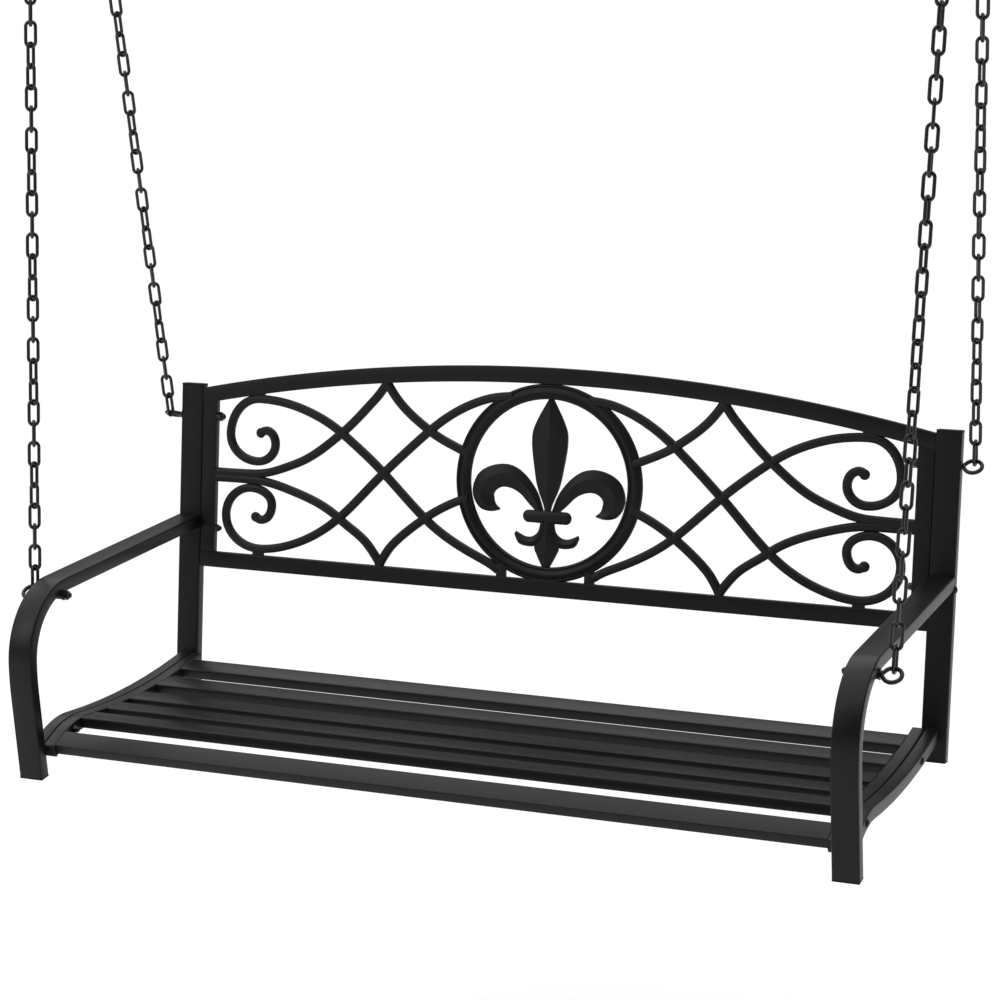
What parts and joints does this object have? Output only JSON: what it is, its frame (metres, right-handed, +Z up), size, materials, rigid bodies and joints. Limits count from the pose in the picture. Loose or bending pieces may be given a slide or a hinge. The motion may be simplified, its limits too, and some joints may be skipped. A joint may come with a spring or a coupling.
{
  "type": "porch swing",
  "caption": "Hanging porch swing: a slatted bench seat with curved arms and a cast scroll back with a lily medallion, hung by chains from ceiling hangers.",
  "frame": {"origin": "on the ceiling plane, midway between the two hanger plates", "axes": "+X across the seat to the right as seen from the front, +Y from the front of the seat to its back, +Z up"},
  "size_m": [1.48, 0.5684, 2.1226],
  "materials": {
    "coated_steel": "satin black powder coat",
    "coated_casting": "satin black powder coat on cast aluminium",
    "coated_chain": "satin black coated steel chain",
    "coated_fasteners": "satin black coated fasteners",
    "black_plastic": "matt black"
  },
  "bodies": {
    "hangers": {"left_hook": "coated_fasteners", "right_hook": "coated_fasteners", "left_ceiling_plate": "coated_fasteners", "right_ceiling_plate": "coated_fasteners"},
    "swing": {"left_arm": "coated_steel", "right_arm": "coated_steel", "left_post": "coated_steel", "right_post": "coated_steel", "left_seat_rail": "coated_steel", "right_seat_rail": "coated_steel", "left_side_bar": "coated_steel", "right_side_bar": "coated_steel", "front_slat": "coated_steel", "slat_2": "coated_steel", "slat_3": "coated_steel", "slat_4": "coated_steel", "slat_5": "coated_steel", "slat_6": "coated_steel", "top_rail": "coated_steel", "bottom_rail": "coated_steel", "left_stile": "coated_steel", "right_stile": "coated_steel", "medallion_ring": "coated_casting", "lily_ornament": "coated_casting", "left_scrollwork": "coated_casting", "right_scrollwork": "coated_casting", "post_caps": "black_plastic", "post_plugs": "black_plastic", "foot_plugs": "black_plastic", "side_bar_plugs": "black_plastic", "front_bushings": "coated_steel", "eye_bolts": "coated_fasteners", "eye_bolt_washers": "coated_fasteners", "eye_bolt_nuts": "coated_fasteners", "back_bolts": "coated_fasteners", "back_bolt_nuts": "coated_fasteners", "seat_bolts": "coated_fasteners", "seat_bolt_nuts": "coated_fasteners", "front_left_chain": "coated_chain", "front_right_chain": "coated_chain", "rear_left_chain": "coated_chain", "rear_right_chain": "coated_chain", "left_gather_ring": "coated_fasteners", "right_gather_ring": "coated_fasteners"}
  },
  "joints": [
    {"name": "swing", "type": "hinge", "parent": "hangers", "child": "swing", "pos_m": [0, 0, -0.0385], "axis": [1, 0, 0], "range_deg": [-25, 25]}
  ]
}
